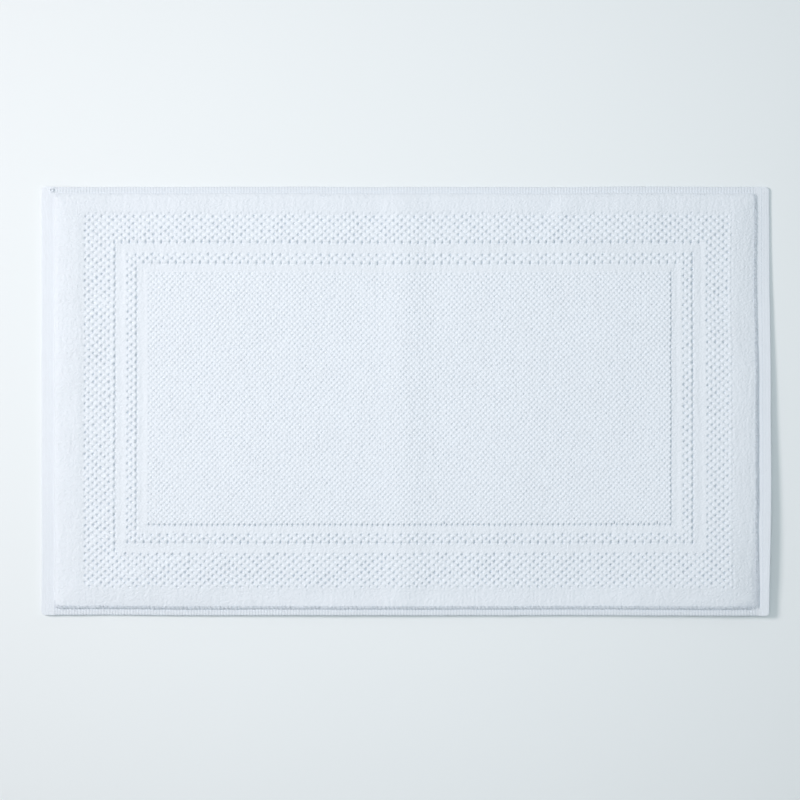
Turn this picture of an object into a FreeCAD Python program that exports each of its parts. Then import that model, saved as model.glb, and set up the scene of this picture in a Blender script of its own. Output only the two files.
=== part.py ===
import FreeCAD, Part
import os
import re
import Sketcher

# A white bath mat of jacquard-woven cotton terry, in millimetres.
# Frame: +Z up, the origin on the floor under the middle of the mat, X along its long sides.
# From the floor up the cloth is: underside pile, flat ground weave, face pile. Round its four
# sides the weave has no pile, and is folded under twice and sewn down as a hem.

doc = FreeCAD.newDocument("bath_mat")

# ---------------------------------------------------------------- driving dimensions
SIZES = [
    ("mat_length", 864, "whole mat along X, over the hems"),
    ("mat_width", 508, "whole mat along Y, over the hems"),
    ("cloth_thickness", 1.0, "one layer of the flat ground weave"),
    ("fold_gap", 0.05, "air between two folded layers of a hem"),
    ("hem_side_width", 15.4, "hem at each short side, from the pile to the outer fold"),
    ("hem_end_width", 7.6, "hem at each long side, from the pile to the outer fold"),
    ("fold_clearance", 0.3, "from a hem's inner fold to the pile beside it"),
    ("tuck_clearance", 0.4, "from a hem's turned-in edge to the outer fold round it"),
    ("border_left", 36.4, "plain terry border, left"),
    ("border_right", 32.6, "plain terry border, right"),
    ("border_bottom", 28.0, "plain terry border, bottom"),
    ("border_top", 25.8, "plain terry border, top"),
    ("wide_column_pitch", 4.75, "wide lattice, one column of pits to the next"),
    ("wide_row_pitch", 4.25, "wide lattice, one row of pits to the next"),
    ("wide_columns_left", 8, "columns of pits in the wide lattice, left"),
    ("wide_columns_right", 6, "columns of pits in the wide lattice, right"),
    ("wide_rows_bottom", 9, "rows of pits in the wide lattice, bottom"),
    ("wide_rows_top", 8, "rows of pits in the wide lattice, top"),
    ("middle_gap_left", 11.2, "plain band between the two lattices, left"),
    ("middle_gap_right", 14.2, "plain band between the two lattices, right"),
    ("middle_gap_end", 11.0, "plain band between the two lattices, top and bottom"),
    ("narrow_lines", 3, "lines of pits in the narrow lattice, on every side"),
    ("narrow_pitch", 4.75, "narrow lattice, one line of pits to the next"),
    ("inner_gap_side", 11.7, "plain band round the field, left and right"),
    ("inner_gap_end", 7.8, "plain band round the field, top and bottom"),
    ("border_pile_height", 4.7, "face pile of the plain border"),
    ("lattice_pile_height", 4.3, "face pile of both lattices and of the field"),
    ("band_pile_height", 3.9, "face pile of the two plain bands"),
    ("pile_corner_radius", 7.0, "corner of the pile seen from above"),
    ("pile_edge_radius", 3.5, "rounding of the border's outer top edge"),
    ("thread_radius", 0.35, "sewing thread of the hems"),
    ("channel_clearance", 0.1, "beside the lower thread, in its channel under the hem"),
    ("seam_from_pile_side", 5.0, "seam of a side hem, from the pile"),
    ("seam_from_pile_end", 2.8, "seam of a top or bottom hem, from the pile"),
    ("seam_end_margin", 3.0, "from each end of a hem to its seam"),
]
sheet = doc.addObject("Spreadsheet::Sheet", "Sizes")
for row, (alias, value, meaning) in enumerate(SIZES, start=1):
    sheet.set(f"A{row}", alias)
    sheet.set(f"B{row}", str(value))
    sheet.set(f"C{row}", meaning)
    sheet.setAlias(f"B{row}", alias)
doc.recompute()

TINY = 1e-4
nodes = []


def bind(item, target, formula):
    """Ties one property to a formula written with the spreadsheet's names."""
    item.setExpression(target, re.sub(r"[a-z_]+", lambda word: "Sizes." + word.group(), formula))


def place(item, x, y, z):
    """Ties an object's position to three formulas and leaves its turn as it is."""
    for axis, formula in zip("xyz", (x, y, z)):
        bind(item, "Placement.Base." + axis, formula)


def keep(item, label):
    """Marks an object as one finished piece of the mat, under the piece's own name."""
    item.Label = label
    nodes.append(item)
    return item


# ---------------------------------------------------------------- levels above the floor
ground_bottom = "2 * (cloth_thickness + fold_gap)"
ground_top = f"{ground_bottom} + cloth_thickness"

# ---------------------------------------------------------------- outlines seen from above
# Each outline is a rectangle, worked out from the one outside it.
pile_half_length = "(mat_length / 2 - hem_side_width)"
pile_half_width = "(mat_width / 2 - hem_end_width)"
pile = {
    "left": f"-{pile_half_length}",
    "right": pile_half_length,
    "bottom": f"-{pile_half_width}",
    "top": pile_half_width,
}


def inside(outline, left, right, bottom, top):
    """The outline that lies inside another one by a width of its own at each side."""
    return {
        "left": f"{outline['left']} + {left}",
        "right": f"{outline['right']} - {right}",
        "bottom": f"{outline['bottom']} + {bottom}",
        "top": f"{outline['top']} - {top}",
    }


narrow_width = "narrow_lines * narrow_pitch"
wide = inside(pile, "border_left", "border_right", "border_bottom", "border_top")
middle = inside(
    wide,
    "wide_columns_left * wide_column_pitch",
    "wide_columns_right * wide_column_pitch",
    "wide_rows_bottom * wide_row_pitch",
    "wide_rows_top * wide_row_pitch",
)
narrow = inside(middle, "middle_gap_left", "middle_gap_right", "middle_gap_end", "middle_gap_end")
inner = inside(narrow, narrow_width, narrow_width, narrow_width, narrow_width)
field = inside(inner, "inner_gap_side", "inner_gap_side", "inner_gap_end", "inner_gap_end")


# ---------------------------------------------------------------- cloth and pile, as padded slabs
def rectangle(body, along_x, along_y):
    """A sketched rectangle with one corner on the body's origin."""
    sketch = body.newObject("Sketcher::SketchObject", "outline")
    floor = [plane for plane in body.Origin.OriginFeatures if plane.Role == "XY_Plane"]
    sketch.AttachmentSupport = [(floor[0], "")]
    sketch.MapMode = "FlatFace"
    corners = [FreeCAD.Vector(x, y, 0) for x, y in ((0, 0), (10, 0), (10, 10), (0, 10))]
    for start, end in zip(corners, corners[1:] + corners[:1]):
        sketch.addGeometry(Part.LineSegment(start, end), False)
    for line in range(4):
        sketch.addConstraint(Sketcher.Constraint("Coincident", line, 2, (line + 1) % 4, 1))
    for line in (0, 2):
        sketch.addConstraint(Sketcher.Constraint("Horizontal", line))
        sketch.addConstraint(Sketcher.Constraint("Vertical", line + 1))
    sketch.addConstraint(Sketcher.Constraint("Coincident", 0, 1, -1, 1))
    span_x = sketch.addConstraint(Sketcher.Constraint("DistanceX", 0, 1, 0, 2, 10.0))
    span_y = sketch.addConstraint(Sketcher.Constraint("DistanceY", 1, 1, 1, 2, 10.0))
    sketch.renameConstraint(span_x, "span_x")
    sketch.renameConstraint(span_y, "span_y")
    bind(sketch, "Constraints.span_x", along_x)
    bind(sketch, "Constraints.span_y", along_y)
    return sketch


def slab(label, left, right, bottom, top, base, height):
    """One flat piece between four edges, standing on a level, as a body with a single pad."""
    body = doc.addObject("PartDesign::Body", label)
    sketch = rectangle(body, f"{right} - ({left})", f"{top} - ({bottom})")
    pad = body.newObject("PartDesign::Pad", "thickness")
    pad.Profile = sketch
    bind(pad, "Length", height)
    sketch.Visibility = False
    place(body, left, bottom, base)
    return keep(body, label)


def ring(label, outer, hole, height):
    """A band of face pile round a rectangle: full-length strips above and below, short ones between."""
    strips = {
        "left": (outer["left"], hole["left"], hole["bottom"], hole["top"]),
        "right": (hole["right"], outer["right"], hole["bottom"], hole["top"]),
        "bottom": (outer["left"], outer["right"], outer["bottom"], hole["bottom"]),
        "top": (outer["left"], outer["right"], hole["top"], outer["top"]),
    }
    return {
        side: slab(f"{label}_{side}", *edges, ground_top, height) for side, edges in strips.items()
    }


slab("ground_cloth", *pile.values(), ground_bottom, "cloth_thickness")
slab("underside_pile", *pile.values(), "0", ground_bottom)
border_strips = ring("border_pile", pile, wide, "border_pile_height")
ring("wide_lattice", wide, middle, "lattice_pile_height")
ring("middle_band", middle, narrow, "band_pile_height")
ring("narrow_lattice", narrow, inner, "lattice_pile_height")
ring("inner_band", inner, field, "band_pile_height")
slab("centre_field", *field.values(), ground_top, "lattice_pile_height")
doc.recompute()


# ---------------------------------------------------------------- rounded edge of the border
def round_edges(body, wanted, radius):
    """Rounds the edges of a body whose bounding boxes pass a test."""
    solid = body.Tip
    edges = enumerate(solid.Shape.Edges, start=1)
    names = [f"Edge{number}" for number, edge in edges if wanted(edge.BoundBox)]
    fillet = body.newObject("PartDesign::Fillet", "rounding")
    fillet.Base = (solid, names)
    bind(fillet, "Radius", radius)
    body.Tip = fillet
    doc.recompute()


for side, body in border_strips.items():
    whole = body.Tip.Shape.BoundBox
    axis = "X" if side in ("left", "right") else "Y"
    limit = "Min" if side in ("left", "bottom") else "Max"
    outer_face = getattr(whole, axis + limit)

    def on_outer_face(box):
        return all(abs(getattr(box, axis + end) - outer_face) < TINY for end in ("Min", "Max"))

    if axis == "Y":
        round_edges(body, lambda box: on_outer_face(box) and box.ZLength > TINY, "pile_corner_radius")
        reach = (whole.YMin + whole.YMax) - outer_face
        round_edges(
            body,
            lambda box: box.ZMin > whole.ZMax - TINY and not abs(box.Center.y - reach) < TINY,
            "pile_edge_radius",
        )
    else:
        round_edges(
            body,
            lambda box: on_outer_face(box) and box.ZMin > whole.ZMax - TINY,
            "pile_edge_radius",
        )


# ---------------------------------------------------------------- hems
# A hem's own frame: X from the pile out to the fold, Y along the hem, Z up. The cloth runs out
# on top, turns under at the outer fold, comes back along the floor, turns up at the inner fold
# and ends tucked in between. The lower thread lies in a channel under the bottom layer.
hem_height = "(3 * cloth_thickness + 2 * fold_gap)"
outer_fold_radius = f"{hem_height} / 2"
inner_fold_radius = "(cloth_thickness + fold_gap / 2)"
inner_fold_x = f"(fold_clearance + {inner_fold_radius})"
TURN_Y = FreeCAD.Rotation(FreeCAD.Vector(1, 0, 0), -90)


def box(name, x, z, length, width, height):
    """A box that starts at the near end of a hem."""
    item = doc.addObject("Part::Box", name)
    for target, formula in (("Length", length), ("Width", width), ("Height", height)):
        bind(item, target, formula)
    place(item, x, "0", z)
    return item


def half_round(name, x, z, radius, length, tilt):
    """A half cylinder along a hem, bulging outwards (tilt -90) or towards the pile (tilt 90)."""
    item = doc.addObject("Part::Cylinder", name)
    item.Angle = 180
    bind(item, "Radius", radius)
    bind(item, "Height", length)
    turn = FreeCAD.Rotation(FreeCAD.Vector(0, 1, 0), tilt).multiply(TURN_Y)
    item.Placement = FreeCAD.Placement(FreeCAD.Vector(), turn)
    place(item, x, "0", z)
    return item


def union(name, shapes):
    """Several overlapping or touching solids as one."""
    item = doc.addObject("Part::MultiFuse", name)
    item.Shapes = shapes
    item.Refine = True
    return item


def hem(side, width, length, seam, corner_x, corner_y, turn):
    """One folded hem, placed with its near, pile-side corner on a corner of the pile."""
    fold_x = f"({width} - {outer_fold_radius})"
    cloth = union(f"{side}_layers", [
        box(f"{side}_top_layer", "0", f"{hem_height} - cloth_thickness", fold_x, length,
            "cloth_thickness"),
        half_round(f"{side}_outer_fold", fold_x, outer_fold_radius, outer_fold_radius, length, -90),
        box(f"{side}_bottom_layer", inner_fold_x, "0", f"{fold_x} - {inner_fold_x}", length,
            "cloth_thickness"),
        half_round(f"{side}_inner_fold", inner_fold_x, inner_fold_radius, inner_fold_radius, length, 90),
        box(f"{side}_tucked_layer", inner_fold_x, "cloth_thickness + fold_gap",
            f"{fold_x} - {inner_fold_x} - tuck_clearance", length, "cloth_thickness"),
    ])
    voids = union(f"{side}_voids", [
        half_round(f"{side}_outer_hollow", fold_x, outer_fold_radius,
                   f"{outer_fold_radius} - cloth_thickness", length, -90),
        half_round(f"{side}_inner_hollow", inner_fold_x, inner_fold_radius, "fold_gap / 2", length, 90),
        box(f"{side}_channel", f"{seam} - thread_radius - channel_clearance", "0",
            "2 * (thread_radius + channel_clearance)", length, "thread_radius"),
    ])
    folded = doc.addObject("Part::Cut", f"{side}_folded")
    folded.Base = cloth
    folded.Tool = voids
    folded.Placement = FreeCAD.Placement(FreeCAD.Vector(), FreeCAD.Rotation(turn, 0, 0))
    place(folded, corner_x, corner_y, "0")
    return keep(folded, f"hem_{side}")


# ---------------------------------------------------------------- sewing threads
def thread(label, length, x, y, z, turn, roll):
    """One run of thread along a seam, flat against the cloth and round away from it."""
    item = doc.addObject("Part::Cylinder", label)
    item.Angle = 180
    bind(item, "Radius", "thread_radius")
    bind(item, "Height", f"{length} - 2 * seam_end_margin")
    rolled = FreeCAD.Rotation(turn, 0, 0).multiply(FreeCAD.Rotation(FreeCAD.Vector(1, 0, 0), roll))
    item.Placement = FreeCAD.Placement(FreeCAD.Vector(), rolled)
    place(item, x, y, z)
    return keep(item, label)


# Each hem with its turn about Z, the direction it faces and the direction that it runs in.
HEMS = {
    "left": (180, (-1, 0), (0, -1)),
    "right": (0, (1, 0), (0, 1)),
    "bottom": (-90, (0, -1), (1, 0)),
    "top": (90, (0, 1), (-1, 0)),
}
side_hem = ("hem_side_width", "mat_width", "seam_from_pile_side", pile_half_length, "mat_width / 2")
end_hem = ("hem_end_width", f"2 * {pile_half_length}", "seam_from_pile_end", pile_half_width,
           pile_half_length)
for side, (turn, facing, running) in HEMS.items():
    width, length, seam, out, half_run = side_hem if side in ("left", "right") else end_hem

    def across(distance_out, distance_along):
        """X and Y of a point beside this hem: out from the pile's edge, and along from the near end."""
        return [
            f"{facing[axis]} * ({out} + {distance_out}) + {running[axis]} * ({distance_along} - {half_run})"
            for axis in (0, 1)
        ]

    hem(side, width, length, seam, *across("0", "0"), turn)
    thread(f"needle_thread_{side}", length, *across(seam, f"{length} - seam_end_margin"),
           hem_height, turn, 90)
    thread(f"bobbin_thread_{side}", length, *across(seam, "seam_end_margin"),
           "thread_radius", turn, -90)
doc.recompute()

# ---------------------------------------------------------------- check, then one file a piece
for item in doc.Objects:
    if {"Invalid", "Error"} & set(item.State):
        raise RuntimeError(f"{item.Label} failed to build: {item.State}")
for item in nodes:
    shape = item.Shape
    if shape.isNull() or not shape.isValid() or len(shape.Solids) != 1:
        raise RuntimeError(f"{item.Label} is not one valid solid")

os.makedirs("parts", exist_ok=True)
for item in nodes:
    item.Shape.exportStep(f"parts/{item.Label}.step")
    print(f"{item.Label:24s} {item.Shape.Volume / 1000:9.3f} cm3  {item.Shape.optimalBoundingBox()}")
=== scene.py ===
import math
import bpy
import numpy as np
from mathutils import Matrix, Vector


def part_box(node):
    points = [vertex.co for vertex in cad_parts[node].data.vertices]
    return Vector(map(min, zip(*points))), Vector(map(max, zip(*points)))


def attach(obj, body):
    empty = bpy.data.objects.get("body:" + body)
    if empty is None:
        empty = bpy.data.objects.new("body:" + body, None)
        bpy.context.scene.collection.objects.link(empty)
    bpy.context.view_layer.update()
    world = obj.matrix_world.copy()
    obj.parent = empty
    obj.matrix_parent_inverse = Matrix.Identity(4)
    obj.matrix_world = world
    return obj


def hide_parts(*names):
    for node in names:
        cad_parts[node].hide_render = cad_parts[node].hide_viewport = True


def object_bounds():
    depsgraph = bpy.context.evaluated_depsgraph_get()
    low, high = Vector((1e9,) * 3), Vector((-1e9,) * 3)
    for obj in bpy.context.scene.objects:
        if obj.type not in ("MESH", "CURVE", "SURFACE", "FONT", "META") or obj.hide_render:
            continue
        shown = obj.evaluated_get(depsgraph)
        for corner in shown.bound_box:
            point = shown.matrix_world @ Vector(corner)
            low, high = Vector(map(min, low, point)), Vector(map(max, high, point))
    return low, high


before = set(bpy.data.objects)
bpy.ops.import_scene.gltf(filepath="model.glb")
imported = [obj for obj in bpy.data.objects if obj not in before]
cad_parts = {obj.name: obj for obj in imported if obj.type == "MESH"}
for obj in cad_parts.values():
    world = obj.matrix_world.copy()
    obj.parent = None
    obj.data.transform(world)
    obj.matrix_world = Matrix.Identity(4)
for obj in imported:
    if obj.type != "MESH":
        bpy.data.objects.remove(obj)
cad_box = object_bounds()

# ------------------------------------------------------------------ where it lies
# A bath mat laid flat on a smooth pale floor and looked at from straight above, in soft daylight
# that comes low from its left side. The floor, the light and the camera aren't part of the mat.
MM = 0.001
low, high = cad_box
mat_length = high.x - low.x
scene = bpy.context.scene
scene.view_settings.view_transform = "Standard"

LENS_MM = 100
SENSOR_MM = 36
VIEW_WIDTH = 1.099 * mat_length
VIEW_CENTRE = (-6.8 * MM, 1.2 * MM)
camera_data = bpy.data.cameras.new("camera")
camera_data.lens = LENS_MM
camera_data.sensor_width = SENSOR_MM
camera = bpy.data.objects.new("camera", camera_data)
camera.location = (*VIEW_CENTRE, VIEW_WIDTH * LENS_MM / SENSOR_MM)
scene.collection.objects.link(camera)
scene.camera = camera


def soft_light(name, place, aim, size, power, spread, colour):
    """A square soft box at a place, turned towards a point on the floor."""
    data = bpy.data.lights.new(name, "AREA")
    data.size = size
    data.energy = power
    data.spread = math.radians(spread)
    data.color = colour
    lamp = bpy.data.objects.new(name, data)
    lamp.location = place
    lamp.rotation_euler = (Vector((*aim, 0)) - Vector(place)).to_track_quat("-Z", "Y").to_euler()
    scene.collection.objects.link(lamp)


WINDOW_COLOUR = (1.0, 0.905, 0.895)
SKY_COLOUR = (0.885, 0.970, 1.0)
SKY_STRENGTH = 0.405
soft_light("window", (-2.05, 0.64, 2.23), (0, 0), 0.90, 16.8, 100, WINDOW_COLOUR)
soft_light("ceiling", (0.10, 0.15, 3.0), (0.10, 0.15), 1.6, 3.6, 60, SKY_COLOUR)
world = bpy.data.worlds.new("soft room")
scene.world = world
world.use_nodes = True
sky = world.node_tree.nodes["Background"]
sky.inputs["Color"].default_value = (*SKY_COLOUR, 1.0)
sky.inputs["Strength"].default_value = SKY_STRENGTH


class Wire:
    """One output in a node tree. Arithmetic on it adds Math nodes, and add() makes any other node."""

    def __init__(self, tree, socket=None):
        self.tree = tree
        self.socket = socket

    def add(self, kind, settings=(), sockets=(), out=0):
        node = self.tree.nodes.new(kind)
        for name, value in dict(settings).items():
            setattr(node, name, value)
        for name, value in dict(sockets).items():
            if isinstance(value, Wire):
                self.tree.links.new(value.socket, node.inputs[name])
            else:
                node.inputs[name].default_value = value
        return Wire(self.tree, node.outputs[out])

    def other(self, name):
        """Another output of the node that this one comes from."""
        return Wire(self.tree, self.socket.node.outputs[name])

    def feed(self, node, name):
        """Links this output to an input of a node that is there already."""
        self.tree.links.new(self.socket, node.inputs[name])

    def math(self, operation, *values):
        return self.add("ShaderNodeMath", {"operation": operation}, dict(enumerate(values)))

    def __add__(self, other):
        return self.math("ADD", self, other)

    def __sub__(self, other):
        return self.math("SUBTRACT", self, other)

    def __rsub__(self, other):
        return self.math("SUBTRACT", other, self)

    def __mul__(self, other):
        return self.math("MULTIPLY", self, other)

    __radd__ = __add__
    __rmul__ = __mul__

    def sine(self):
        return self.math("SINE", self)

    def cosine(self):
        return self.math("COSINE", self)


def material(name, roughness, sheen=0.0):
    """A new material, a first wire in its tree, and its main shader with the steady values set."""
    made = bpy.data.materials.new(name)
    made.use_nodes = True
    shader = made.node_tree.nodes["Principled BSDF"]
    shader.inputs["Roughness"].default_value = roughness
    shader.inputs["Specular IOR Level"].default_value = 0.25
    shader.inputs["Sheen Weight"].default_value = sheen
    shader.inputs["Sheen Roughness"].default_value = 0.6
    return made, Wire(made.node_tree), shader


def blend(wire, share, first, second):
    """A colour between two others, by a share from 0 to 1."""
    return wire.add(
        "ShaderNodeMix", {"data_type": "RGBA"}, {0: share, 6: first, 7: second}, out=2
    )


def tone(colour, factor):
    """A colour made lighter or darker."""
    return (*[channel * factor for channel in colour], 1.0)


FLOOR_COLOUR = (0.81, 0.85, 0.865)
FLOOR_HALF = 4.0
floor_material, wire, shader = material("painted board", 0.75)
place = wire.add("ShaderNodeTexCoord", out="Object")
cloud = wire.add("ShaderNodeTexNoise", {}, {"Vector": place, "Scale": 1.5, "Detail": 3.0})
colour = blend(wire, cloud, tone(FLOOR_COLOUR, 0.985), tone(FLOOR_COLOUR, 1.015))
colour.feed(shader, "Base Color")
floor_mesh = bpy.data.meshes.new("floor")
floor_mesh.from_pydata(
    [(FLOOR_HALF * x, FLOOR_HALF * y, 0) for x, y in ((-1, -1), (1, -1), (1, 1), (-1, 1))],
    [], [(0, 1, 2, 3)])
floor_mesh.materials.append(floor_material)
floor = bpy.data.objects.new("floor", floor_mesh)
scene.collection.objects.link(floor)

# ------------------------------------------------------------------ ground weave
# The mat is one cotton cloth. Its flat ground weave holds all the loops, and shows only at the
# hems. It lies as cloth does: creased across the middle where it was folded in store, rumpled
# a little everywhere, and standing off the floor at the near edge and the near right corner.
GROUND_STEP = 6 * MM
MEAN_LIFT = 0.40 * MM
LEAST_LIFT = 0.36 * MM
CREASE_HEIGHT = 1.7 * MM
CREASE_WIDTH = 24 * MM
RUMPLE_HEIGHT = 0.7 * MM
RUMPLE_SIZE = 90 * MM
RIPPLE_HEIGHT = 0.35 * MM
RIPPLE_LENGTH = 10.4 * MM
CALM_EDGE = 30 * MM
CORNER_LIFT = 9.8 * MM
END_CURL = 4.0 * MM
TIP_DROOP = 1.3 * MM
EDGE_DROOP = 2.7 * MM
LEFT_RISE = 2.2 * MM
LEFT_SWELL = 4.2 * MM
NEAR_LEFT_LIFT = 1.3 * MM
NEAR_LEFT_FALL = 1.0 * MM
NEAR_MIDDLE_RISE = 3.7 * MM
NEAR_RIGHT_FALL = 3.4 * MM
DRIFT = 0.55 * MM
FINE_DRIFT = 0.2 * MM
FAR_DRAW = 0.9 * MM
NEAR_SPREAD = 2.2 * MM
ground_low, ground_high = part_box("ground_cloth")
mat_half_length = mat_length / 2
mat_half_width = (high.y - low.y) / 2


def soft_noise(x, y, size, seed, stretch=1.0):
    """Smooth random hills from -1 to 1, about `size` across, and longer along Y by `stretch`."""
    heights = np.random.default_rng(seed).uniform(-1, 1, (256, 256))
    u = x / size + 128.37
    v = y / (size * stretch) + 128.71
    i, j = np.floor(u).astype(int), np.floor(v).astype(int)
    s, t = u - i, v - j
    s, t = s * s * (3 - 2 * s), t * t * (3 - 2 * t)
    near = heights[i % 256, j % 256] * (1 - s) + heights[(i + 1) % 256, j % 256] * s
    far = heights[i % 256, (j + 1) % 256] * (1 - s) + heights[(i + 1) % 256, (j + 1) % 256] * s
    return near * (1 - t) + far * t


def ease(value, start, end):
    """0 before start, 1 after end, and a smooth step between."""
    t = np.clip((value - start) / (end - start), 0, 1)
    return t * t * (3 - 2 * t)


def wrinkle(x, y, centre, heading, length, width, height):
    """One soft ridge (or valley, if its height is negative) along a heading in degrees."""
    cos, sin = math.cos(math.radians(heading)), math.sin(math.radians(heading))
    along = (x - centre[0]) * cos + (y - centre[1]) * sin
    across = (y - centre[1]) * cos - (x - centre[0]) * sin
    return height * np.exp(-((along / length) ** 2) - (across / width) ** 2)


def rumpled(x, y):
    """The cloth at large: creased, softly rumpled, rippled along its long edges, and calmer there."""
    crease = CREASE_HEIGHT * np.exp(-((x + 2 * MM) / CREASE_WIDTH) ** 2)
    rumple = RUMPLE_HEIGHT * soft_noise(x + 0.6 * y, y - 0.4 * x, RUMPLE_SIZE, 3)
    ripple = RIPPLE_HEIGHT * np.cos(x / RIPPLE_LENGTH + 2 * soft_noise(x, y, 60 * MM, 5))
    ripple = ripple * ease(np.abs(y), mat_half_width - 45 * MM, mat_half_width - 15 * MM)
    fold = wrinkle(x, y, (0.325, -0.225), 25, 34 * MM, 11 * MM, -1.3 * MM)
    fold = fold + wrinkle(x, y, (0.185, 0.232), 70, 30 * MM, 9 * MM, 0.9 * MM)
    fold = fold + wrinkle(x, y, (0.300, 0.232), 70, 30 * MM, 9 * MM, 0.8 * MM)
    in_from_edge = ease(mat_half_length - np.abs(x), 0, CALM_EDGE)
    in_from_edge = in_from_edge * ease(mat_half_width - np.abs(y), 0, CALM_EDGE)
    waves = (crease + rumple + ripple + fold) * (0.25 + 0.75 * in_from_edge)
    return np.maximum(waves + MEAN_LIFT, LEAST_LIFT)


def right_end_lift(x, y):
    """The right end rises towards its near corner and curls up at its hem. Its tip droops a little."""
    towards_near = ease(-y, -0.20, 0.26)
    curl = END_CURL * ease(x, 0.408, mat_half_length + 12 * MM)
    curl = curl * (0.35 * ease(-y, -0.20, -0.10) + 0.50 * towards_near)
    droop = TIP_DROOP * ease(x, 0.365, 0.420) * ease(-y, 0.10, 0.25)
    droop = droop + EDGE_DROOP * ease(x, 0.26, 0.36) * ease(-y, 0.20, 0.26)
    return CORNER_LIFT * ease(x, 0.20, 0.415) * towards_near + curl - droop


def left_end_lift(x, y):
    """The left end is a little proud beside its hem, and swells in its near half."""
    rim = LEFT_RISE * (ease(x, -0.438, -0.414) - ease(x, -0.405, -0.345))
    rim = rim * (1 - 0.65 * ease(-y, 0.05, 0.20))
    swell = LEFT_SWELL * (ease(x, -0.435, -0.31) - ease(x, -0.31, 0.15)) * ease(-y, -0.02, 0.20)
    swell = swell * (1 - 0.5 * ease(-y, 0.20, 0.25) * ease(x, -0.40, -0.34))
    return rim + swell


def near_edge_lift(x, y):
    """The near edge stands highest at its middle, and comes down towards both corners."""
    rise = NEAR_LEFT_LIFT - NEAR_LEFT_FALL * ease(x, -0.42, -0.34)
    rise = rise + NEAR_MIDDLE_RISE * ease(x, -0.30, -0.05) - NEAR_RIGHT_FALL * ease(x, 0.18, 0.36)
    return rise * ease(-y, mat_half_width - 30 * MM, mat_half_width - 4 * MM)


def lie(x, y):
    """How far the cloth stands off a flat floor at a point. Its near edge is the one at low Y."""
    return rumpled(x, y) + right_end_lift(x, y) + left_end_lift(x, y) + near_edge_lift(x, y)


def sway(x, y):
    """How far a point of the cloth has drifted sideways, so that no edge is ruler straight."""
    drift_x, drift_y = (
        DRIFT * soft_noise(x, y, 110 * MM, seed) + FINE_DRIFT * soft_noise(x, y, 25 * MM, seed + 1)
        for seed in (11, 13))
    # The right hem draws in at both its ends, and the pile beside it spreads at the near one.
    drawn_in = ease(x, 0.414, 0.432)
    drift_x = drift_x - FAR_DRAW * drawn_in * ease(y, 0.12, 0.25)
    drift_x = drift_x + NEAR_SPREAD * (ease(x, 0.34, 0.414) - 1.8 * drawn_in) * ease(-y, 0.13, 0.25)
    return drift_x, drift_y


def swayed(x, y, z):
    """Points of the cloth, each moved by its sideways drift."""
    drift_x, drift_y = sway(x, y)
    return np.stack([x + drift_x, y + drift_y, z], -1)


def mesh_from(name, points, loops, totals, normals=None, smooth=None, shade=None):
    """A mesh from flat arrays of points and faces, with optional normals and a shade per point."""
    mesh = bpy.data.meshes.new(name)
    mesh.vertices.add(len(points))
    mesh.vertices.foreach_set("co", np.asarray(points, np.float32).ravel())
    mesh.loops.add(len(loops))
    mesh.loops.foreach_set("vertex_index", np.asarray(loops, np.int32))
    mesh.polygons.add(len(totals))
    starts = np.concatenate([[0], np.cumsum(totals)[:-1]])
    mesh.polygons.foreach_set("loop_start", starts.astype(np.int32))
    mesh.polygons.foreach_set("loop_total", np.asarray(totals, np.int32))
    if smooth is None:
        smooth = np.ones(len(totals), bool)
    mesh.polygons.foreach_set("use_smooth", smooth)
    mesh.update(calc_edges=True)
    mesh.validate()
    if shade is not None:
        mesh.attributes.new("shade", "FLOAT", "POINT").data.foreach_set("value", shade)
    if normals is not None:
        mesh.normals_split_custom_set(normals)
    return mesh


def finished(name, mesh, slot, *nodes):
    """Puts a mesh in the scene as one piece of the mat, in place of the CAD solids it stands for."""
    piece = bpy.data.objects.new(name, mesh)
    scene.collection.objects.link(piece)
    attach(piece, "root")
    if nodes:
        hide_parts(*nodes)
    return piece


# Painted shade for faces hidden under the mat or under the pile.
HIDDEN_SHADE = 0.6


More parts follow.
